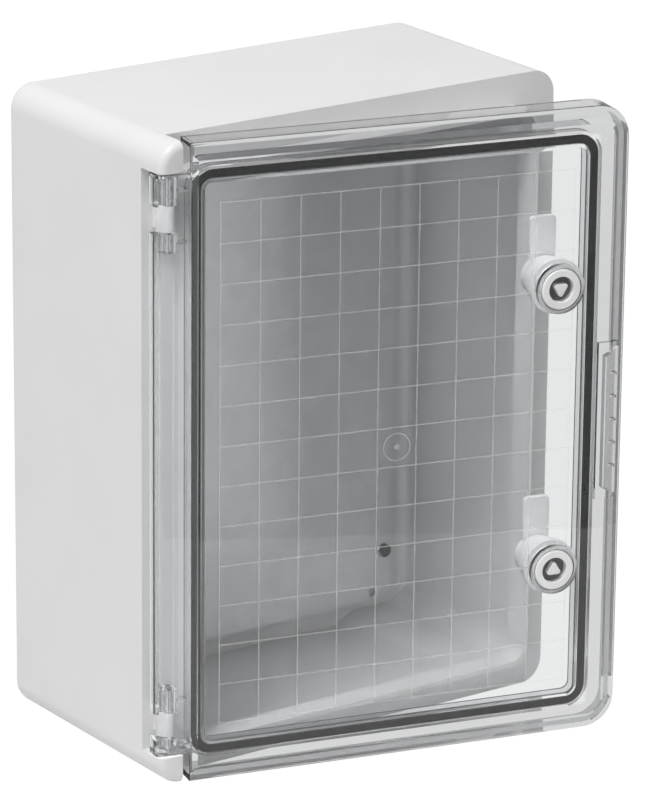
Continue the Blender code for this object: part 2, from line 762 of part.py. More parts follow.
def add_lock_seats(door, cutters):
    """A ring on the door's front round each lock, and the hole that the lock passes through."""
    for side, name in ((1, "top"), (-1, "bottom")):
        z = side * LOCK_Z
        ring = ring_mesh(
            f"lock_ring_{name}",
            circle(LOCK_U, z, BOSS_RING_OUTER),
            circle(LOCK_U, z, BOSS_RING_INNER),
            -BOSS_RING_TOP,
            PANEL_V + DOOR_WALL / 2,
        )
        combine(door, "UNION", ring, cutters)
        hole = slab_mesh(
            f"lock_hole_{name}",
            circle(LOCK_U, z, LOCK_HOLE_RADIUS),
            PANEL_V - OVERSHOOT,
            PANEL_V + DOOR_WALL + OVERSHOOT,
        )
        combine(door, "DIFFERENCE", hole, cutters)


def grip_outline(left, right, half_height, bevel):
    """A tall slot whose ends slope towards the free edge."""
    return [
        (right, half_height + bevel),
        (left, half_height),
        (left, -half_height),
        (right, -half_height - bevel),
    ]


def add_grip(door, cutters):
    """A finger pocket in the free edge with a row of cross ribs in it."""
    backing_half_height = GRIP_HALF_HEIGHT + GRIP_BEVEL + DOOR_WALL
    backing = box_mesh(
        "grip_backing",
        (GRIP_INNER_U - DOOR_WALL, DOOR_LIP_V + DOOR_WALL / 2, -backing_half_height),
        (DOOR_RIGHT - DOOR_WALL / 2, GRIP_FLOOR_V + DOOR_WALL / 2, backing_half_height),
    )
    combine(door, "UNION", backing, cutters)
    pocket = slab_mesh(
        "grip_pocket",
        grip_outline(GRIP_INNER_U, GRIP_OUTER_U, GRIP_HALF_HEIGHT, GRIP_BEVEL),
        PANEL_V - OVERSHOOT,
        GRIP_FLOOR_V,
    )
    combine(door, "DIFFERENCE", pocket, cutters)
    for number in range(GRIP_RIBS):
        z = (number - (GRIP_RIBS - 1) / 2) * GRIP_RIB_PITCH
        rib = box_mesh(
            f"grip_rib_{number}",
            (GRIP_OUTER_U - DOOR_WALL, DOOR_LIP_V + OVERSHOOT, z - RIB_THICKNESS / 2),
            (GRIP_OUTER_U + DOOR_WALL / 2, GRIP_FLOOR_V + OVERSHOOT / 2, z + RIB_THICKNESS / 2),
        )
        combine(door, "UNION", rib, cutters)


def make_door(parts, cutters, axis):
    door = make_door_shell(parts, cutters, axis)
    add_seal_channel(door, cutters)
    add_door_hinges(door, cutters)
    add_lock_seats(door, cutters)
    add_grip(door, cutters)
    finish_piece(door, "clear_polycarbonate")


def make_seal(parts, axis):
    seal = add_object(
        "door_seal",
        ring_mesh(
            "door_seal",
            seal_outline(SEAL_HALF_THICKNESS, SEAL_CENTRE_U),
            seal_outline(-SEAL_HALF_THICKNESS, SEAL_CENTRE_U),
            GROOVE_FLOOR_V + GAP,
            SEAL_BACK_V,
        ),
        parts,
        axis,
    )
    finish_piece(seal, "seal_foam")


def make_hinge_pins(parts):
    for name, (bottom, top) in PIN_SPANS.items():
        pin = add_object(
            f"hinge_pin_{name}", post_mesh(f"hinge_pin_{name}", 0, 0, bottom, top, PIN_RADIUS, 16), parts
        )
        pin.location = (HINGE_X, HINGE_Y, 0)
        finish_piece(pin, "bright_steel")


def make_lock_housing(parts, axis, name):
    """The fixed part of a lock: gasket, housing with its key recess, and the sleeve behind the door."""
    gasket_low = -PANEL_V + GAP
    flange_low = gasket_low + GASKET_THICKNESS + GAP
    turned(
        f"lock_gasket_{name}",
        [
            (GASKET_OUTER, gasket_low + GASKET_THICKNESS),
            (GASKET_OUTER, gasket_low),
            (LOCK_HOLE_RADIUS, gasket_low),
            (LOCK_HOLE_RADIUS, gasket_low + GASKET_THICKNESS),
        ],
        parts,
        axis,
        "gasket_rubber",
    )
    turned(
        f"lock_housing_{name}",
        [
            (RECESS_RADIUS, HOUSING_TOP),
            (HOUSING_RADIUS - HOUSING_CHAMFER, HOUSING_TOP),
            (HOUSING_RADIUS, HOUSING_TOP - HOUSING_CHAMFER),
            (HOUSING_RADIUS, flange_low),
            (HOUSING_BARREL, flange_low),
            (HOUSING_BARREL, HOUSING_BACK),
            (ROTOR_BORE, HOUSING_BACK),
            (ROTOR_BORE, RECESS_FLOOR),
            (RECESS_RADIUS, RECESS_FLOOR),
        ],
        parts,
        axis,
        "lock_plastic",
    )
    sleeve_top = -(PANEL_V + DOOR_WALL) - GAP
    turned(
        f"lock_sleeve_{name}",
        [
            (SLEEVE_RADIUS, sleeve_top),
            (SLEEVE_RADIUS, sleeve_top - SLEEVE_RIM),
            (SLEEVE_BACK_RADIUS, SLEEVE_BACK),
            (LOCK_HOLE_RADIUS, SLEEVE_BACK),
            (LOCK_HOLE_RADIUS, sleeve_top),
        ],
        parts,
        axis,
        "lock_plastic",
    )


def key_outline(side, points_down):
    """An equilateral triangle about the lock's axis."""
    reach = side / math.sqrt(3)
    start = -90 if points_down else 90
    return [
        (reach * math.cos(math.radians(start + turn)), reach * math.sin(math.radians(start + turn)))
        for turn in (0, 120, 240)
    ]


def make_rotor(parts, cutters, axis, name, points_down):
    """The turning part of a lock: a disc with the key triangle on it, a shaft, and a square end."""
    rotor = turned(
        f"lock_rotor_{name}",
        [
            (0, ROTOR_DISC_TOP),
            (ROTOR_DISC_RADIUS, ROTOR_DISC_TOP),
            (ROTOR_DISC_RADIUS, RECESS_FLOOR + GAP),
            (ROTOR_RADIUS, RECESS_FLOOR + GAP),
            (ROTOR_RADIUS, CAM_FRONT + GAP),
            (0, CAM_FRONT + GAP),
        ],
        parts,
        axis,
        "lock_plastic",
    )
    triangle = key_outline(KEY_SIDE, points_down)
    key = add_object(
        f"lock_key_{name}",
        slab_mesh(f"lock_key_{name}", triangle, -KEY_TOP, OVERSHOOT - ROTOR_DISC_TOP),
        cutters,
        axis,
    )
    key.rotation_euler = (-math.pi / 2, 0, 0)
    combine_object(rotor, "UNION", key)
    square_end = add_object(
        f"lock_square_{name}",
        box_mesh(
            f"lock_square_{name}",
            (-SQUARE_SIDE / 2, -SQUARE_SIDE / 2, CAM_FRONT - CAM_THICKNESS),
            (SQUARE_SIDE / 2, SQUARE_SIDE / 2, CAM_FRONT + OVERSHOOT),
        ),
        cutters,
        axis,
    )
    combine_object(rotor, "UNION", square_end)
    screw_top = CAM_FRONT - CAM_THICKNESS - GAP + CAM_SCREW_DEPTH
    hole = add_object(
        f"cam_screw_hole_{name}",
        post_mesh(
            f"cam_screw_hole_{name}",
            0,
            0,
            CAM_FRONT - CAM_THICKNESS - OVERSHOOT,
            screw_top + GAP,
            CAM_SCREW_HOLE,
            16,
        ),
        cutters,
        axis,
    )
    combine_object(rotor, "DIFFERENCE", hole)


def make_cam(parts, cutters, axis, name):
    """A flat latch: a round hub on the rotor's square end, with a tab that points up when unlocked."""
    half = CAM_WIDTH / 2
    shoulder = math.degrees(math.acos(half / CAM_HUB_RADIUS))
    outline = (
        arc((half - CAM_CORNER, CAM_REACH - CAM_CORNER), CAM_CORNER, 0, steps=4)
        + arc((CAM_CORNER - half, CAM_REACH - CAM_CORNER), CAM_CORNER, 90, steps=4)
        + arc((0, 0), CAM_HUB_RADIUS, 180 - shoulder, 180 + 2 * shoulder, steps=20)
    )
    cam = add_object(
        f"lock_cam_{name}",
        slab_mesh(f"lock_cam_{name}", outline, -CAM_FRONT, CAM_THICKNESS - CAM_FRONT),
        parts,
        axis,
    )
    cam.rotation_euler = (-math.pi / 2, 0, 0)
    half_square = SQUARE_SIDE / 2 + SQUARE_CLEARANCE / 2
    square = box_mesh(
        f"cam_square_hole_{name}",
        (-half_square, -CAM_FRONT - OVERSHOOT, -half_square),
        (half_square, CAM_THICKNESS - CAM_FRONT + OVERSHOOT, half_square),
    )
    combine(cam, "DIFFERENCE", square, cutters)
    finish_piece(cam, "lock_plastic")
    head_top = CAM_FRONT - CAM_THICKNESS - GAP
    turned(
        f"lock_cam_screw_{name}",
        [
            (0, head_top + CAM_SCREW_DEPTH - GAP),
            (CAM_SCREW_RADIUS, head_top + CAM_SCREW_DEPTH - GAP),
            (CAM_SCREW_RADIUS, head_top),
            (CAM_SCREW_HEAD_RADIUS, head_top),
            (CAM_SCREW_HEAD_RADIUS, head_top - CAM_SCREW_HEAD_HEIGHT + CAM_SCREW_CROWN_HEIGHT),
            (CAM_SCREW_CROWN_RADIUS, head_top - CAM_SCREW_HEAD_HEIGHT),
            (0, head_top - CAM_SCREW_HEAD_HEIGHT),
        ],
        parts,
        axis,
        "bright_steel",
    )


def make_locks(parts, cutters, door_axis):
    for side, name in ((1, "top"), (-1, "bottom")):
        axis = axis_empty(
            f"lock_axis_{name}", parts, (LOCK_U, 0, side * LOCK_Z), (math.pi / 2, 0, 0), door_axis
        )
        make_lock_housing(parts, axis, name)
        make_rotor(parts, cutters, axis, name, points_down=side > 0)
        make_cam(parts, cutters, axis, name)


def main():
    clear_scene()
    parts = new_collection("electrical_enclosure")
    cutters = new_collection("cutters")
    make_case(parts, cutters)
    make_mounting_plate(parts, cutters)
    make_plate_fixings(parts)
    make_hinge_pins(parts)
    door_axis = axis_empty("door_axis", parts, (HINGE_X, HINGE_Y, 0), (0, 0, -OPEN_ANGLE))
    make_door(parts, cutters, door_axis)
    make_seal(parts, door_axis)
    make_locks(parts, cutters, door_axis)


main()
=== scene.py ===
"""The looks of a grey wall enclosure with a clear hinged door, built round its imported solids."""

import json
import math

import bmesh
import bpy
import numpy as np
from mathutils import Matrix, Vector


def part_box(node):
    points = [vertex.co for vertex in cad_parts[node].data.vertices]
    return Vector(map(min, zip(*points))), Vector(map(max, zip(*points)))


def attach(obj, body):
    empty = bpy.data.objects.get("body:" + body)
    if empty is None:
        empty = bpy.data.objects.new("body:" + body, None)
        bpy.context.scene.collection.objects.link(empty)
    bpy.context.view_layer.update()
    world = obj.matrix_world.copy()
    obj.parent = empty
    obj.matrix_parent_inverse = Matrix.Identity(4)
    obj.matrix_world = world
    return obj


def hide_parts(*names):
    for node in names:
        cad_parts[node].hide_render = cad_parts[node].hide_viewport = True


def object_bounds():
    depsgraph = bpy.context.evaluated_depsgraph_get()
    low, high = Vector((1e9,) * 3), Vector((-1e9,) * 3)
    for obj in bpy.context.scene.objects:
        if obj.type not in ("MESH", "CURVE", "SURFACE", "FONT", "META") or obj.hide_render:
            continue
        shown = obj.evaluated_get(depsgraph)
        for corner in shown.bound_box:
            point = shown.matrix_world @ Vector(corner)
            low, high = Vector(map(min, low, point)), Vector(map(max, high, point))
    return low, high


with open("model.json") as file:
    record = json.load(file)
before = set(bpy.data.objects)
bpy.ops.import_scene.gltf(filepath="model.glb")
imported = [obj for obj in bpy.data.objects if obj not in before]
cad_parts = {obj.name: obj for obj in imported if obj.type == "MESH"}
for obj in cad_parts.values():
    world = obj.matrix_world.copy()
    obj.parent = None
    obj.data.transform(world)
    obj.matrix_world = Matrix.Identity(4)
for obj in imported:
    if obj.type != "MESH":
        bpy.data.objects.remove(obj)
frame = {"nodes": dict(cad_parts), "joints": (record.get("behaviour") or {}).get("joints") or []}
solid_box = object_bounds()

# ---------------------------------------------------------------------------------------------------
# The case. One injection moulding in light grey ABS, three millimetres thick, with the corner ears,
# the knuckle arms and the collar round the opening in one piece. Its sharp edges are broken by the
# tool's small radius, and its faces carry the fine grain of spark-eroded steel.
# ---------------------------------------------------------------------------------------------------
CASE_EDGE = 0.0005
MOULDED_EDGE_ANGLE = math.radians(32)
ABS_GREY = (0.69, 0.69, 0.695, 1.0)


def moulded_copy(node, name, edge_radius):
    """The node's own shape with its triangles merged into faces and its edges rounded by edge_radius."""
    source = frame["nodes"][node]
    shape = bmesh.new()
    shape.from_mesh(source.data)
    bmesh.ops.remove_doubles(shape, verts=shape.verts, dist=0.000002)
    bmesh.ops.dissolve_limit(
        shape, angle_limit=math.radians(0.5), verts=shape.verts, edges=shape.edges, delimit=set()
    )
    mesh = bpy.data.meshes.new(name)
    shape.to_mesh(mesh)
    shape.free()
    mesh.shade_smooth()
    piece = bpy.data.objects.new(name, mesh)
    bpy.context.scene.collection.objects.link(piece)
    bevel = piece.modifiers.new("Broken edges", "BEVEL")
    bevel.width = edge_radius
    bevel.segments = 2
    bevel.limit_method = "ANGLE"
    bevel.angle_limit = MOULDED_EDGE_ANGLE
    bevel.harden_normals = False
    smooth = piece.modifiers.new("Flat faces stay flat", "WEIGHTED_NORMAL")
    smooth.keep_sharp = False
    return piece


def new_material(name, colour, roughness, metallic=0.0):
    """A material with its Principled shader and the Object coordinates that its patterns read."""
    made = bpy.data.materials.new(name)
    made.use_nodes = True
    nodes = made.node_tree.nodes
    shader = nodes["Principled BSDF"]
    shader.inputs["Base Color"].default_value = colour
    shader.inputs["Roughness"].default_value = roughness
    shader.inputs["Metallic"].default_value = metallic
    place = nodes.new("ShaderNodeTexCoord")
    return made, nodes, made.node_tree.links, shader, place.outputs["Object"]


def grain(nodes, links, shader, place, scale, strength, distance):
    """A bump of fractal noise, of grains about 1/scale metres wide."""
    noise = nodes.new("ShaderNodeTexNoise")
    noise.inputs["Scale"].default_value = scale
    noise.inputs["Detail"].default_value = 3.0
    bump = nodes.new("ShaderNodeBump")
    bump.inputs["Strength"].default_value = strength
    bump.inputs["Distance"].default_value = distance
    links.new(place, noise.inputs["Vector"])
    links.new(noise.outputs["Fac"], bump.inputs["Height"])
    links.new(bump.outputs["Normal"], shader.inputs["Normal"])


def tone(nodes, links, shader, place, scale, low, high, socket="Base Color"):
    """The socket drifts between two values over patches about 1/scale metres wide."""
    noise = nodes.new("ShaderNodeTexNoise")
    noise.inputs["Scale"].default_value = scale
    noise.inputs["Detail"].default_value = 4.0
    ramp = nodes.new("ShaderNodeValToRGB")
    ramp.color_ramp.elements[0].position = 0.35
    ramp.color_ramp.elements[1].position = 0.65
    ramp.color_ramp.elements[0].color = low
    ramp.color_ramp.elements[1].color = high
    links.new(place, noise.inputs["Vector"])
    links.new(noise.outputs["Fac"], ramp.inputs["Fac"])
    links.new(ramp.outputs["Color"], shader.inputs[socket])


def grey_level(value):
    return (value, value, value, 1.0)


def case_abs():
    made, nodes, links, shader, place = new_material("case_abs_grained", ABS_GREY, 0.45)
    tone(nodes, links, shader, place, 14.0, (0.68, 0.68, 0.685, 1.0), (0.70, 0.70, 0.705, 1.0))
    tone(nodes, links, shader, place, 40.0, grey_level(0.40), grey_level(0.50), "Roughness")
    grain(nodes, links, shader, place, 2600.0, 0.18, 0.00006)
    return made


abs_finish = case_abs()
case_moulding = moulded_copy("enclosure_body", "case_moulding", CASE_EDGE)
case_moulding.data.materials.append(abs_finish)
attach(case_moulding, "case")
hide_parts("enclosure_body")

# ---------------------------------------------------------------------------------------------------
# The mounting plate. Two millimetre sheet, cut, drilled and hot-dip galvanised, which leaves a faint
# spangle of zinc crystals and dull rolling marks. It is screwed to four pillars of the case.
# ---------------------------------------------------------------------------------------------------
ZINC = (0.72, 0.725, 0.735, 1.0)
SPANGLE_SCALE = 95.0


def galvanised():
    made, nodes, links, shader, place = new_material("galvanised_sheet", ZINC, 0.36, 0.95)
    crystals = nodes.new("ShaderNodeTexVoronoi")
    crystals.inputs["Scale"].default_value = SPANGLE_SCALE
    crystals.inputs["Randomness"].default_value = 1.0
    shade = nodes.new("ShaderNodeValToRGB")
    shade.color_ramp.elements[0].color = (0.70, 0.705, 0.715, 1.0)
    shade.color_ramp.elements[1].color = (0.75, 0.755, 0.765, 1.0)
    links.new(place, crystals.inputs["Vector"])
    links.new(crystals.outputs["Color"], shade.inputs["Fac"])
    links.new(shade.outputs["Color"], shader.inputs["Base Color"])
    tone(nodes, links, shader, place, 60.0, grey_level(0.32), grey_level(0.37), "Roughness")
    grain(nodes, links, shader, place, 1400.0, 0.06, 0.00003)
    return made


plate = frame["nodes"]["mounting_plate"]
plate.data.materials.clear()
plate.data.materials.append(galvanised())

# ---------------------------------------------------------------------------------------------------
# The plate's fixings. Four pan-head screws with a cross recess, each on a turned washer. The screws are
# blackened, the washers bright zinc-plated. A turned piece is a profile carried round its axis, worked
# out as one array.
# ---------------------------------------------------------------------------------------------------
SCREW_CORNERS = ("top_left", "top_right", "bottom_left", "bottom_right")
TURN_STEPS = 72
CROSS_WIDTH = 0.0011
CROSS_LENGTH = 0.0048
CROSS_DEPTH = 0.0011
CROSS_WALL = 0.0002
CROSS_END_SLOPE = 0.0006
HEAD_CROWN_FALL = 0.42
HEAD_RIM_HEIGHT = 0.4
HEAD_UNDERSIDE = 0.97
WASHER_BORE = 0.0029
WASHER_EDGE = 0.0002
TURNED_EDGE_ANGLE = math.radians(35)
STEEL_GREY = (0.66, 0.66, 0.67, 1.0)


def grid_piece(name, points, wrap_rows, wrap_columns, edge_radius=0.0):
    """A skin over an array of points (rows, columns, xyz), joined end to end where it wraps."""
    rows, columns = points.shape[:2]
    index = np.arange(rows * columns).reshape(rows, columns)
    if wrap_rows:
        index = np.vstack([index, index[:1]])
    if wrap_columns:
        index = np.hstack([index, index[:, :1]])
    faces = np.stack([index[:-1, :-1], index[1:, :-1], index[1:, 1:], index[:-1, 1:]], -1).reshape(-1, 4)
    mesh = bpy.data.meshes.new(name)
    mesh.from_pydata(points.reshape(-1, 3).tolist(), [], faces.tolist())
    shape = bmesh.new()
    shape.from_mesh(mesh)
    bmesh.ops.remove_doubles(shape, verts=shape.verts, dist=0.0000005)
    bmesh.ops.dissolve_degenerate(shape, edges=shape.edges, dist=0.0000005)
    bmesh.ops.holes_fill(shape, edges=[e for e in shape.edges if e.is_boundary], sides=0)
    bmesh.ops.recalc_face_normals(shape, faces=shape.faces)
    shape.to_mesh(mesh)
    shape.free()
    mesh.shade_smooth()
    mesh.set_sharp_from_angle(angle=TURNED_EDGE_ANGLE)
    piece = bpy.data.objects.new(name, mesh)
    bpy.context.scene.collection.objects.link(piece)
    if edge_radius:
        bevel = piece.modifiers.new("Broken edges", "BEVEL")
        bevel.width = edge_radius
        bevel.segments = 2
        bevel.limit_method = "ANGLE"
        bevel.angle_limit = math.radians(40)
    return piece


def axis_frame(centre, axis, up=(0.0, 0.0, 1.0)):
    """Origin and unit vectors (right, up, axis) of a piece that faces along axis."""
    out = np.array(axis, float) / np.linalg.norm(axis)
    right = np.cross(np.array(up, float), out)
    right = right / np.linalg.norm(right)
    return np.array(centre, float), right, np.cross(out, right), out


def turned_points(profile, place, steps=TURN_STEPS):
    """Each (radius, height) of the profile goes round the axis: right cos a + up sin a, plus the height."""
    origin, right, up, out = place
    profile = np.array(profile, float)
    turn = np.linspace(0, 2 * math.pi, steps, endpoint=False)
    spoke = np.cos(turn)[:, None] * right + np.sin(turn)[:, None] * up
    return origin + profile[:, None, :1] * spoke + profile[:, None, 1:] * out


def pan_head(radius, height, shank_radius, shank_end):
    """Profile of a pan head: its top falls away as the fourth power of the radius, then a plain shank."""
    across = np.linspace(0, 1, 34)
    top = np.stack([across * radius, height * (1 - HEAD_CROWN_FALL * across**4)], 1)
    rest = [
        (radius, height * HEAD_RIM_HEIGHT),
        (radius * HEAD_UNDERSIDE, 0),
        (shank_radius, 0),
        (shank_radius, shank_end),
        (0, shank_end),
    ]
    return np.vstack([top, rest])


def cross_recessed(points, place, head_height):
    """Sinks the cross of a screwdriver into the head: full depth in its arms, sloping in at their ends."""
    origin, right, up, out = place
    local = points - origin
    x, y, h = local @ right, local @ up, local @ out
    along, across = np.maximum(abs(x), abs(y)), np.minimum(abs(x), abs(y))
    within_width = np.clip((CROSS_WIDTH / 2 - across) / CROSS_WALL, 0, 1)
    within_length = np.clip((CROSS_LENGTH / 2 - along) / CROSS_END_SLOPE, 0, 1)
    sink = np.where(h > head_height * 0.5, within_width * within_length * CROSS_DEPTH, 0.0)
    return points - sink[..., None] * out


def bright_steel():
    made, nodes, links, shader, place = new_material("bright_zinc_steel", STEEL_GREY, 0.26, 1.0)
    tone(nodes, links, shader, place, 300.0, grey_level(0.20), grey_level(0.34), "Roughness")
    grain(nodes, links, shader, place, 1800.0, 0.08, 0.00003)
    return made


def blackened_steel():
    made, nodes, links, shader, place = new_material("black_oxide_steel", grey_level(0.035), 0.3, 1.0)
    tone(nodes, links, shader, place, 300.0, grey_level(0.24), grey_level(0.38), "Roughness")
    grain(nodes, links, shader, place, 1800.0, 0.08, 0.00003)
    return made


steel_finish = bright_steel()
screw_finish = blackened_steel()
for corner in SCREW_CORNERS:
    low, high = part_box(f"plate_screw_{corner}")
    head_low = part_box(f"plate_washer_{corner}")[0].y - 0.0003
    centre = ((low.x + high.x) / 2, head_low, (low.z + high.z) / 2)
    place = axis_frame(centre, (0, -1, 0))
    head_radius, head_height = (high.x - low.x) / 2, head_low - low.y
    profile = pan_head(head_radius, head_height, 0.0020, head_low - high.y)
    screw = grid_piece(
        f"plate_screw_head_{corner}",
        cross_recessed(turned_points(profile, place, 96), place, head_height),
        False,
        True,
    )
    screw.data.materials.append(screw_finish)
    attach(screw, "case")
    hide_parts(f"plate_screw_{corner}")
    low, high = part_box(f"plate_washer_{corner}")
    outer, thick = (high.x - low.x) / 2, high.y - low.y
    profile = [(WASHER_BORE, 0), (outer, 0), (outer, -thick), (WASHER_BORE, -thick)]
    place = axis_frame((centre[0], low.y, centre[2]), (0, -1, 0))
    washer = grid_piece(f"washer_{corner}", turned_points(profile, place), True, True, WASHER_EDGE)
    washer.data.materials.append(steel_finish)
    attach(washer, "case")
    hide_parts(f"plate_washer_{corner}")

# ---------------------------------------------------------------------------------------------------
# The hinge pins. Two drawn steel rods with chamfered ends, pushed up through the case's knuckles and
# the door's, so that they shine through the clear knuckles.
# ---------------------------------------------------------------------------------------------------
PIN_CHAMFER = 0.0004

for end in ("top", "bottom"):
    low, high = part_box(f"hinge_pin_{end}")
    radius, length = (high.x - low.x) / 2, high.z - low.z
    profile = [
        (0, length),
        (radius - PIN_CHAMFER, length),
        (radius, length - PIN_CHAMFER),
        (radius, PIN_CHAMFER),
        (radius - PIN_CHAMFER, 0),
        (0, 0),
    ]
    place = axis_frame(((low.x + high.x) / 2, (low.y + high.y) / 2, low.z), (0, 0, 1), (0, 1, 0))
    pin = grid_piece(f"steel_pin_{end}", turned_points(profile, place), False, True)
    pin.data.materials.append(steel_finish)
    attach(pin, "case")
    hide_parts(f"hinge_pin_{end}")

# ---------------------------------------------------------------------------------------------------
# The door. One clear polycarbonate moulding with a raised window, a seal channel and a skirt. Places
# on it are (u, v, z): u along the door from the hinge axis, v backwards through it, z up.
# ---------------------------------------------------------------------------------------------------
hinge = next(joint for joint in frame["joints"] if joint["name"] == "door_hinge")
HINGE_POINT = np.array(hinge["pos_m"])
OPEN_ANGLE = math.radians(-hinge["range_deg"][0])
DOOR_EDGE = 0.00035
WINDOW_FRONT = -0.012
WINDOW_CENTRE_U = 0.1410
# Both greys are painted shade: the window's grey darkens the interior seen through the clear door, and the
# frame's darker grey shades the rim.
WINDOW_PAINTED_SHADE = (0.80, 0.81, 0.815, 1.0)
FRAME_PAINTED_SHADE = (0.65, 0.655, 0.66, 1.0)
WINDOW_HALF_WIDTH = 0.1285
WINDOW_HALF_HEIGHT = 0.1820


def on_door(u, v, z):
    """World points of door places, with the door turned out about its hinge by its angle at rest."""
    u, v, z = np.broadcast_arrays(np.asarray(u, float), np.asarray(v, float), np.asarray(z, float))
    x = u * math.cos(OPEN_ANGLE) + v * math.sin(OPEN_ANGLE)
    y = v * math.cos(OPEN_ANGLE) - u * math.sin(OPEN_ANGLE)
    return np.stack([x, y, z], -1) + HINGE_POINT


def paint_door_shade(nodes, links, shader, place):
    """Painted shade in the base colour: a grey over the window that darkens the interior seen through it,
    and a darker grey on the frame beyond the seal, outside the window's rectangle.
    """
    from_centre = nodes.new("ShaderNodeVectorMath")
    from_centre.operation = "SUBTRACT"
    from_centre.inputs[1].default_value = on_door(WINDOW_CENTRE_U, 0.0, 0.0)
    along = nodes.new("ShaderNodeVectorMath")
    along.operation = "DOT_PRODUCT"
    along.inputs[1].default_value = (math.cos(OPEN_ANGLE), -math.sin(OPEN_ANGLE), 0.0)
    split = nodes.new("ShaderNodeSeparateXYZ")
    links.new(place, from_centre.inputs[0])
    links.new(from_centre.outputs["Vector"], along.inputs[0])
    links.new(from_centre.outputs["Vector"], split.inputs["Vector"])
    height = nodes.new("ShaderNodeMath")
    height.operation = "ABSOLUTE"
    links.new(split.outputs["Z"], height.inputs[0])
    outside = []
    width_limit = (along.outputs["Value"], WINDOW_HALF_WIDTH)
    height_limit = (height.outputs["Value"], WINDOW_HALF_HEIGHT)
    for distance, half in (width_limit, height_limit):
        over = nodes.new("ShaderNodeMath")
        over.operation = "GREATER_THAN"
        over.inputs[1].default_value = half
        links.new(distance, over.inputs[0])
        outside.append(over.outputs["Value"])
    either = nodes.new("ShaderNodeMath")
    either.operation = "MAXIMUM"
    # Mixes the two painted shades: the window grey inside the rectangle, the frame grey outside it.
    painted_shade = nodes.new("ShaderNodeMix")
    painted_shade.data_type = "RGBA"
    painted_shade.inputs["A"].default_value = WINDOW_PAINTED_SHADE
    painted_shade.inputs["B"].default_value = FRAME_PAINTED_SHADE
    links.new(outside[0], either.inputs[0])
    links.new(outside[1], either.inputs[1])
    links.new(either.outputs["Value"], painted_shade.inputs["Factor"])
    links.new(painted_shade.outputs["Result"], shader.inputs["Base Color"])


def clear_polycarbonate():
    """Smooth clear plastic that bends what is seen through it and lets the lamps light what is behind."""
    made, nodes, links, shader, place = new_material("clear_polycarbonate", WINDOW_PAINTED_SHADE, 0.015)
    # The base colour is painted shade, greyer on the frame than over the window.
    paint_door_shade(nodes, links, shader, place)
    shader.inputs["Transmission Weight"].default_value = 1.0
    shader.inputs["IOR"].default_value = 1.5
    see_through = nodes.new("ShaderNodeBsdfTransparent")
    see_through.inputs["Color"].default_value = (0.96, 0.96, 0.96, 1.0)
    rays = nodes.new("ShaderNodeLightPath")
    either = nodes.new("ShaderNodeMixShader")
    links.new(rays.outputs["Is Shadow Ray"], either.inputs["Fac"])
    links.new(shader.outputs["BSDF"], either.inputs[1])
    links.new(see_through.outputs["BSDF"], either.inputs[2])
    links.new(either.outputs["Shader"], nodes["Material Output"].inputs["Surface"])
    return made


clear_finish = clear_polycarbonate()
door_moulding = moulded_copy("door", "clear_door_moulding", DOOR_EDGE)
door_moulding.data.materials.append(clear_finish)
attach(door_moulding, "door")
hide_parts("door")

# ---------------------------------------------------------------------------------------------------
# The window's moulded grid. Fine frosted lines stand a tenth of a millimetre proud of the window,
# nine squares by thirteen of 25 mm, with the moulding's round gate mark at the middle.
# ---------------------------------------------------------------------------------------------------
GRID_SQUARE = 0.025
GRID_COLUMNS = 9
GRID_ROWS = 13
LINE_WIDTH = 0.0007
LINE_HEIGHT = 0.00012
GATE_RADIUS = 0.0085


def frosted_lines():
    made, nodes, links, shader, place = new_material("frosted_line", (0.80, 0.81, 0.82, 1.0), 0.35)
    shader.inputs["Alpha"].default_value = 0.32
    grain(nodes, links, shader, place, 3000.0, 0.1, 0.00003)
    return made


def line_strip(start, end):
    """A thin line from start to end, both (u, z): a low roof across its width, carried along its length."""
    start, end = np.array(start), np.array(end)
    along = (end - start) / np.linalg.norm(end - start)
    side = np.array([-along[1], along[0]]) * LINE_WIDTH / 2
    across = np.linspace(-1, 1, 5)
    ends = np.stack([start, end])[:, None, :] + across[None, :, None] * side
    height = np.broadcast_to((1 - across**2) * LINE_HEIGHT + 0.00002, ends.shape[:2])
    return on_door(ends[..., 0], WINDOW_FRONT - height, ends[..., 1])


def joined(name, skins):
    """One mesh from several skins of points, each an array (rows, columns, xyz)."""
    points, faces, first = [], [], 0
    for skin in skins:
        rows, columns = skin.shape[:2]
        index = np.arange(rows * columns).reshape(rows, columns) + first
        quads = np.stack([index[:-1, :-1], index[1:, :-1], index[1:, 1:], index[:-1, 1:]], -1)
        points.append(skin.reshape(-1, 3))
        faces.append(quads.reshape(-1, 4))
        first += rows * columns
    mesh = bpy.data.meshes.new(name)
    mesh.from_pydata(np.vstack(points).tolist(), [], np.vstack(faces).tolist())
    mesh.shade_smooth()
    piece = bpy.data.objects.new(name, mesh)
    bpy.context.scene.collection.objects.link(piece)
    return piece


def gate_ring(radius, width):
    """A low round rib on the window: a circle of this radius with a roof section of this width."""
    turn = np.linspace(0, 2 * math.pi, 65)[:, None]
    across = np.linspace(-1, 1, 5)[None, :]
    reach = radius + across * width / 2
    height = (1 - across**2) * LINE_HEIGHT + 0.00002
    along = WINDOW_CENTRE_U + reach * np.cos(turn)
    return on_door(along, WINDOW_FRONT - height + 0 * turn, reach * np.sin(turn))


half_grid_width = GRID_COLUMNS * GRID_SQUARE / 2
half_grid_height = GRID_ROWS * GRID_SQUARE / 2
grid_lines = []
for column in range(GRID_COLUMNS + 1):
    line_u = WINDOW_CENTRE_U - half_grid_width + column * GRID_SQUARE
    grid_lines.append(line_strip((line_u, half_grid_height), (line_u, -half_grid_height)))
for row in range(GRID_ROWS + 1):
    line_z = row * GRID_SQUARE - half_grid_height
    start_u, end_u = WINDOW_CENTRE_U - half_grid_width, WINDOW_CENTRE_U + half_grid_width
    grid_lines.append(line_strip((start_u, line_z), (end_u, line_z)))
grid_lines.append(gate_ring(GATE_RADIUS, LINE_WIDTH))
grid_lines.append(gate_ring(0.0009, 0.0018))
window_grid = joined("window_grid", grid_lines)
window_grid.data.materials.append(frosted_lines())
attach(window_grid, "door")

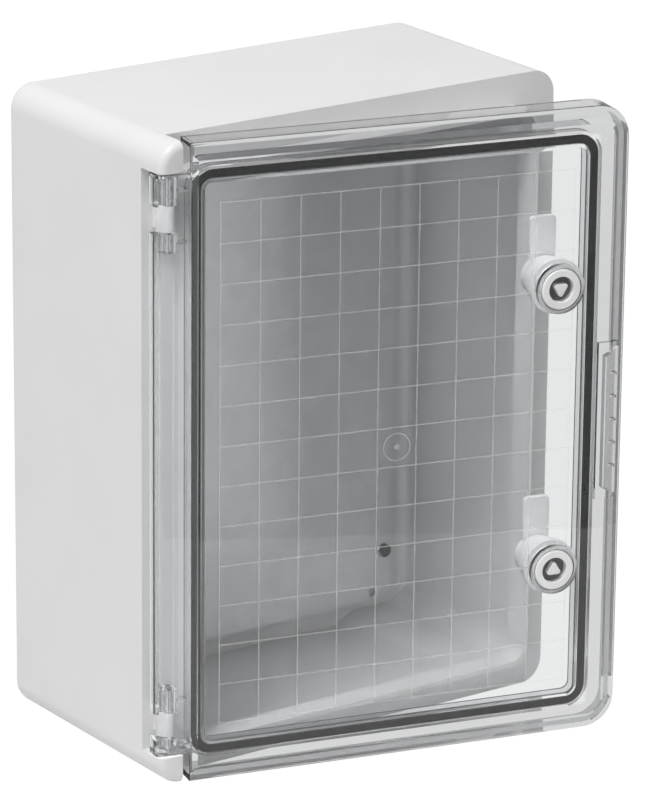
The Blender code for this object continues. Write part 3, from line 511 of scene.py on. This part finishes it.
# ---------------------------------------------------------------------------------------------------
# The door seal. A black foamed bead poured into the channel all round the window. It is a crowned
# section carried along a rounded rectangle.
# ---------------------------------------------------------------------------------------------------
SEAL_CORNER = 0.010
SEAL_HALF_THICKNESS = 0.0028
SEAL_FRONT = -0.0069
SEAL_BACK = -0.0035


def rounded_path(half_width, half_height, radius, corner_steps):
    """Points and outward directions round a rounded rectangle about its own centre."""
    turn = np.linspace(0, math.pi / 2, corner_steps)
    centres = [(1, 1), (-1, 1), (-1, -1), (1, -1)]
    points, outward = [], []
    for quarter, (side_u, side_z) in enumerate(centres):
        angle = turn + quarter * math.pi / 2
        direction = np.stack([np.cos(angle), np.sin(angle)], 1)
        centre = np.array([side_u * (half_width - radius), side_z * (half_height - radius)])
        points.append(centre + radius * direction)
        outward.append(direction)
    return np.vstack(points), np.vstack(outward)


def seal_rubber(name, roughness):
    made, nodes, links, shader, place = new_material(name, (0.008, 0.008, 0.0085, 1.0), roughness)
    shader.inputs["Specular IOR Level"].default_value = 0.15
    tone(nodes, links, shader, place, 120.0, (0.006, 0.006, 0.0065, 1.0), (0.011, 0.011, 0.012, 1.0))
    grain(nodes, links, shader, place, 1500.0, 0.35, 0.0001)
    return made


path, outward = rounded_path(0.126, 0.1795, SEAL_CORNER, 14)
turn = np.linspace(0, 2 * math.pi, 20, endpoint=False)
swell = np.sign(np.cos(turn)) * abs(np.cos(turn)) ** 0.5
rise = np.sign(np.sin(turn)) * abs(np.sin(turn)) ** 0.5
seal_uz = path[:, None, :] + outward[:, None, :] * (swell * SEAL_HALF_THICKNESS)[None, :, None]
seal_v = (SEAL_FRONT + SEAL_BACK) / 2 + rise * (SEAL_BACK - SEAL_FRONT) / 2
seal_bead = grid_piece(
    "foam_seal", on_door(WINDOW_CENTRE_U + seal_uz[..., 0], seal_v[None, :], seal_uz[..., 1]), True, True
)
seal_bead.data.materials.append(seal_rubber("seal_foam_black", 0.6))
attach(seal_bead, "door")
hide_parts("door_seal")

# ---------------------------------------------------------------------------------------------------
# The locks. Each is a light grey plastic housing on a rubber gasket in the door's ring, a sleeve
# behind the door, and a rotor with a triangular key that turns a flat cam. Heights are in front of
# the hinge plane, along the lock's axis.
# ---------------------------------------------------------------------------------------------------
LOCK_GREY = (0.84, 0.84, 0.845, 1.0)
KEY_SIDE = 0.0106
KEY_CORNER = 0.0014
GASKET_PROFILE = [
    (0.0131, 0.0166),
    (0.0131, 0.0123),
    (0.0105, 0.0123),
    (0.0105, 0.0135),
    (0.0129, 0.0135),
    (0.0129, 0.0166),
]
HOUSING_PROFILE = [
    (0.0080, 0.0172),
    (0.0120, 0.0172),
    (0.0128, 0.0164),
    (0.0128, 0.0138),
    (0.0102, 0.0138),
    (0.0102, -0.0128),
    (0.0050, -0.0128),
    (0.0050, 0.0112),
    (0.0080, 0.0112),
]
SLEEVE_PROFILE = [(0.0172, 0.0087), (0.0172, 0.0057), (0.0135, -0.0122), (0.0105, -0.0122), (0.0105, 0.0087)]
DISC_PROFILE = [
    (0, 0.0125),
    (0.0077, 0.0125),
    (0.0077, 0.0115),
    (0.0047, 0.0115),
    (0.0047, -0.0131),
    (0, -0.0131),
]


def lock_plastic(name, colour, roughness):
    made, nodes, links, shader, place = new_material(name, colour, roughness)
    darker = tuple(0.94 * c for c in colour[:3]) + (1.0,)
    tone(nodes, links, shader, place, 90.0, darker, colour)
    grain(nodes, links, shader, place, 2200.0, 0.12, 0.00005)
    return made


def lock_piece(name, node, profile, place, body, finish, closed=True, edge=0.00025):
    piece = grid_piece(name, turned_points(profile, place), closed, True, edge)
    piece.data.materials.append(finish)
    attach(piece, body)
    if node:
        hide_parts(node)
    return piece


def key_points(side, corner, place, points_down, low, high):
    """A triangle with round corners, carried along the axis: the corners' arcs joined by straight sides."""
    origin, right, up, out = place
    reach = side / math.sqrt(3) - 2 * corner
    start = -math.pi / 2 if points_down else math.pi / 2
    outline = []
    for third in range(3):
        middle = start + third * 2 * math.pi / 3
        turn = middle + np.linspace(-math.pi / 3, math.pi / 3, 7)
        centre = reach * np.array([math.cos(middle), math.sin(middle)])
        outline.append(centre + corner * np.stack([np.cos(turn), np.sin(turn)], 1))
    outline = np.vstack(outline)
    sections = [(0.0, high), (0.9, high), (1.0, high - 0.0003), (1.0, low), (0.0, low)]
    return np.stack(
        [origin + scale * (outline[:, :1] * right + outline[:, 1:] * up) + h * out for scale, h in sections]
    )


lock_finish = lock_plastic("lock_housing_grey", LOCK_GREY, 0.36)
key_finish = lock_plastic("lock_key_grey", (0.80, 0.80, 0.805, 1.0), 0.3)
disc_finish = lock_plastic("lock_disc_dark", (0.13, 0.13, 0.135, 1.0), 0.35)
gasket_finish = seal_rubber("gasket_rubber_black", 0.5)

for end, side in (("top", 1), ("bottom", -1)):
    joint = next(item for item in frame["joints"] if item["name"] == f"lock_{end}_turn")
    place = axis_frame(joint["pos_m"], joint["axis"])
    lock_piece(
        f"lock_ring_seal_{end}",
        f"lock_gasket_{end}",
        GASKET_PROFILE,
        place,
        "door",
        gasket_finish,
    )
    lock_piece(
        f"lock_body_{end}",
        f"lock_housing_{end}",
        HOUSING_PROFILE,
        place,
        "door",
        lock_finish,
    )
    lock_piece(
        f"lock_nut_{end}",
        f"lock_sleeve_{end}",
        SLEEVE_PROFILE,
        place,
        "door",
        lock_finish,
    )
    disc = lock_piece(
        f"lock_disc_{end}",
        None,
        DISC_PROFILE,
        place,
        f"lock_{end}",
        disc_finish,
        closed=False,
    )
    key = grid_piece(
        f"lock_key_{end}", key_points(KEY_SIDE, KEY_CORNER, place, side > 0, 0.0126, 0.0165), False, True
    )
    key.data.materials.append(key_finish)
    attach(key, f"lock_{end}")
    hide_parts(f"lock_rotor_{end}")
    cam = moulded_copy(f"lock_cam_{end}", f"lock_tongue_{end}", 0.0005)
    cam.data.materials.append(lock_finish)
    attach(cam, f"lock_{end}")
    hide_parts(f"lock_cam_{end}")
    back = axis_frame(joint["pos_m"], [-value for value in joint["axis"]])
    head_profile = pan_head(0.0045, 0.0024, 0.0015, -0.0087)
    head_profile[:, 1] += 0.0172
    head_points = cross_recessed(turned_points(head_profile, back, 96), back, 0.036)
    screw = grid_piece(f"cam_screw_head_{end}", head_points, False, True)
    screw.data.materials.append(steel_finish)
    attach(screw, f"lock_{end}")
    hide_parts(f"lock_cam_screw_{end}")

# ---------------------------------------------------------------------------------------------------
# The studio: a light table that the case stands on, an even white surround with a dark cloth hung in
# front to keep the door free of reflections, a soft lamp high on the left, a weak low one beside it,
# and a long lens.
# ---------------------------------------------------------------------------------------------------
FLOOR_SIZE = 14.0
FLOOR_FRONT = -0.60
CAMERA_YAW = math.radians(35.263)
CAMERA_PITCH = math.radians(18.323)
CAMERA_ROLL = math.radians(0.575)
CAMERA_PLACE = Vector((-1.6748, -2.4891, 0.9663))
CAMERA_LENS = 224.93
ROOM_LIGHT = 0.57
CLOTH_DIRECTION = (0.120, -0.942, -0.314)
CLOTH_OUTER_COSINE = 0.84
CLOTH_INNER_COSINE = 0.97
CLOTH_SHADE = 0.12
FLOOR_GREY = 0.80
BACKDROP_GLOW = 1.02


def floor_finish():
    """A light table: it glows white to the eye, and lights the object from below as painted board does."""
    made, nodes, links, shader, place = new_material("studio_floor_white", grey_level(FLOOR_GREY), 0.7)
    glow = nodes.new("ShaderNodeEmission")
    glow.inputs["Color"].default_value = grey_level(1.0)
    glow.inputs["Strength"].default_value = BACKDROP_GLOW
    rays = nodes.new("ShaderNodeLightPath")
    either = nodes.new("ShaderNodeMixShader")
    seen = nodes.new("ShaderNodeMath")
    seen.operation = "MAXIMUM"
    links.new(rays.outputs["Is Camera Ray"], seen.inputs[0])
    links.new(rays.outputs["Is Transmission Ray"], seen.inputs[1])
    links.new(seen.outputs["Value"], either.inputs["Fac"])
    links.new(shader.outputs["BSDF"], either.inputs[1])
    links.new(glow.outputs["Emission"], either.inputs[2])
    links.new(either.outputs["Shader"], nodes["Material Output"].inputs["Surface"])
    return made


def soft_lamp(name, at, look_at, size, power):
    lamp = bpy.data.lights.new(name, "AREA")
    lamp.shape = "RECTANGLE"
    lamp.size, lamp.size_y = size
    lamp.energy = power
    stand = bpy.data.objects.new(name, lamp)
    stand.location = at
    stand.rotation_mode = "QUATERNION"
    stand.rotation_quaternion = (Vector(look_at) - Vector(at)).to_track_quat("-Z", "Y")
    bpy.context.scene.collection.objects.link(stand)


floor_mesh = bpy.data.meshes.new("studio_floor")
half = FLOOR_SIZE / 2
floor_z = solid_box[0].z
floor_corners = [
    (-half, FLOOR_FRONT, floor_z),
    (half, FLOOR_FRONT, floor_z),
    (half, half, floor_z),
    (-half, half, floor_z),
]
floor_mesh.from_pydata(floor_corners, [], [(0, 1, 2, 3)])
studio_floor = bpy.data.objects.new("studio_floor", floor_mesh)
bpy.context.scene.collection.objects.link(studio_floor)
floor_mesh.materials.append(floor_finish())

surround = bpy.data.worlds.new("studio_surround")
surround.use_nodes = True
world_nodes, world_links = surround.node_tree.nodes, surround.node_tree.links
room_light = world_nodes["Background"]
room_light.inputs["Strength"].default_value = ROOM_LIGHT
direction = world_nodes.new("ShaderNodeTexCoord")
towards_cloth = world_nodes.new("ShaderNodeVectorMath")
towards_cloth.operation = "DOT_PRODUCT"
towards_cloth.inputs[1].default_value = CLOTH_DIRECTION
cloth = world_nodes.new("ShaderNodeMapRange")
cloth.inputs["From Min"].default_value = CLOTH_OUTER_COSINE
cloth.inputs["From Max"].default_value = CLOTH_INNER_COSINE
cloth.inputs["To Min"].default_value = 1.0
cloth.inputs["To Max"].default_value = CLOTH_SHADE
world_links.new(direction.outputs["Generated"], towards_cloth.inputs[0])
world_links.new(towards_cloth.outputs["Value"], cloth.inputs["Value"])
world_links.new(cloth.outputs["Result"], room_light.inputs["Color"])
backdrop = world_nodes.new("ShaderNodeBackground")
backdrop.inputs["Color"].default_value = (1.0, 1.0, 1.0, 1.0)
backdrop.inputs["Strength"].default_value = BACKDROP_GLOW
rays = world_nodes.new("ShaderNodeLightPath")
seen = world_nodes.new("ShaderNodeMath")
seen.operation = "MAXIMUM"
room_or_backdrop = world_nodes.new("ShaderNodeMixShader")
world_links.new(rays.outputs["Is Camera Ray"], seen.inputs[0])
world_links.new(rays.outputs["Is Transmission Ray"], seen.inputs[1])
world_links.new(seen.outputs["Value"], room_or_backdrop.inputs["Fac"])
world_links.new(room_light.outputs["Background"], room_or_backdrop.inputs[1])
world_links.new(backdrop.outputs["Background"], room_or_backdrop.inputs[2])
world_links.new(room_or_backdrop.outputs["Shader"], world_nodes["World Output"].inputs["Surface"])
bpy.context.scene.world = surround
bpy.context.scene.view_settings.view_transform = "Standard"

soft_lamp("key_lamp", (-1.15, -0.7, 2.7), (0, 0, 0), (0.6, 0.6), 57.0)
soft_lamp("side_lamp", (-1.6, -1.7, 0.35), (0, 0, 0), (0.3, 0.3), 3.5)

level = math.cos(CAMERA_PITCH)
forward = Vector((math.sin(CAMERA_YAW) * level, math.cos(CAMERA_YAW) * level, -math.sin(CAMERA_PITCH)))
level_right = Vector((math.cos(CAMERA_YAW), -math.sin(CAMERA_YAW), 0.0))
level_up = level_right.cross(forward)
right = level_right * math.cos(CAMERA_ROLL) + level_up * math.sin(CAMERA_ROLL)
up = level_up * math.cos(CAMERA_ROLL) - level_right * math.sin(CAMERA_ROLL)
camera_data = bpy.data.cameras.new("camera")
camera_data.lens = CAMERA_LENS
camera_data.clip_end = 100.0
camera = bpy.data.objects.new("camera", camera_data)
camera.matrix_world = Matrix.Translation(CAMERA_PLACE) @ Matrix((right, up, -forward)).transposed().to_4x4()
bpy.context.scene.collection.objects.link(camera)
bpy.context.scene.camera = camera
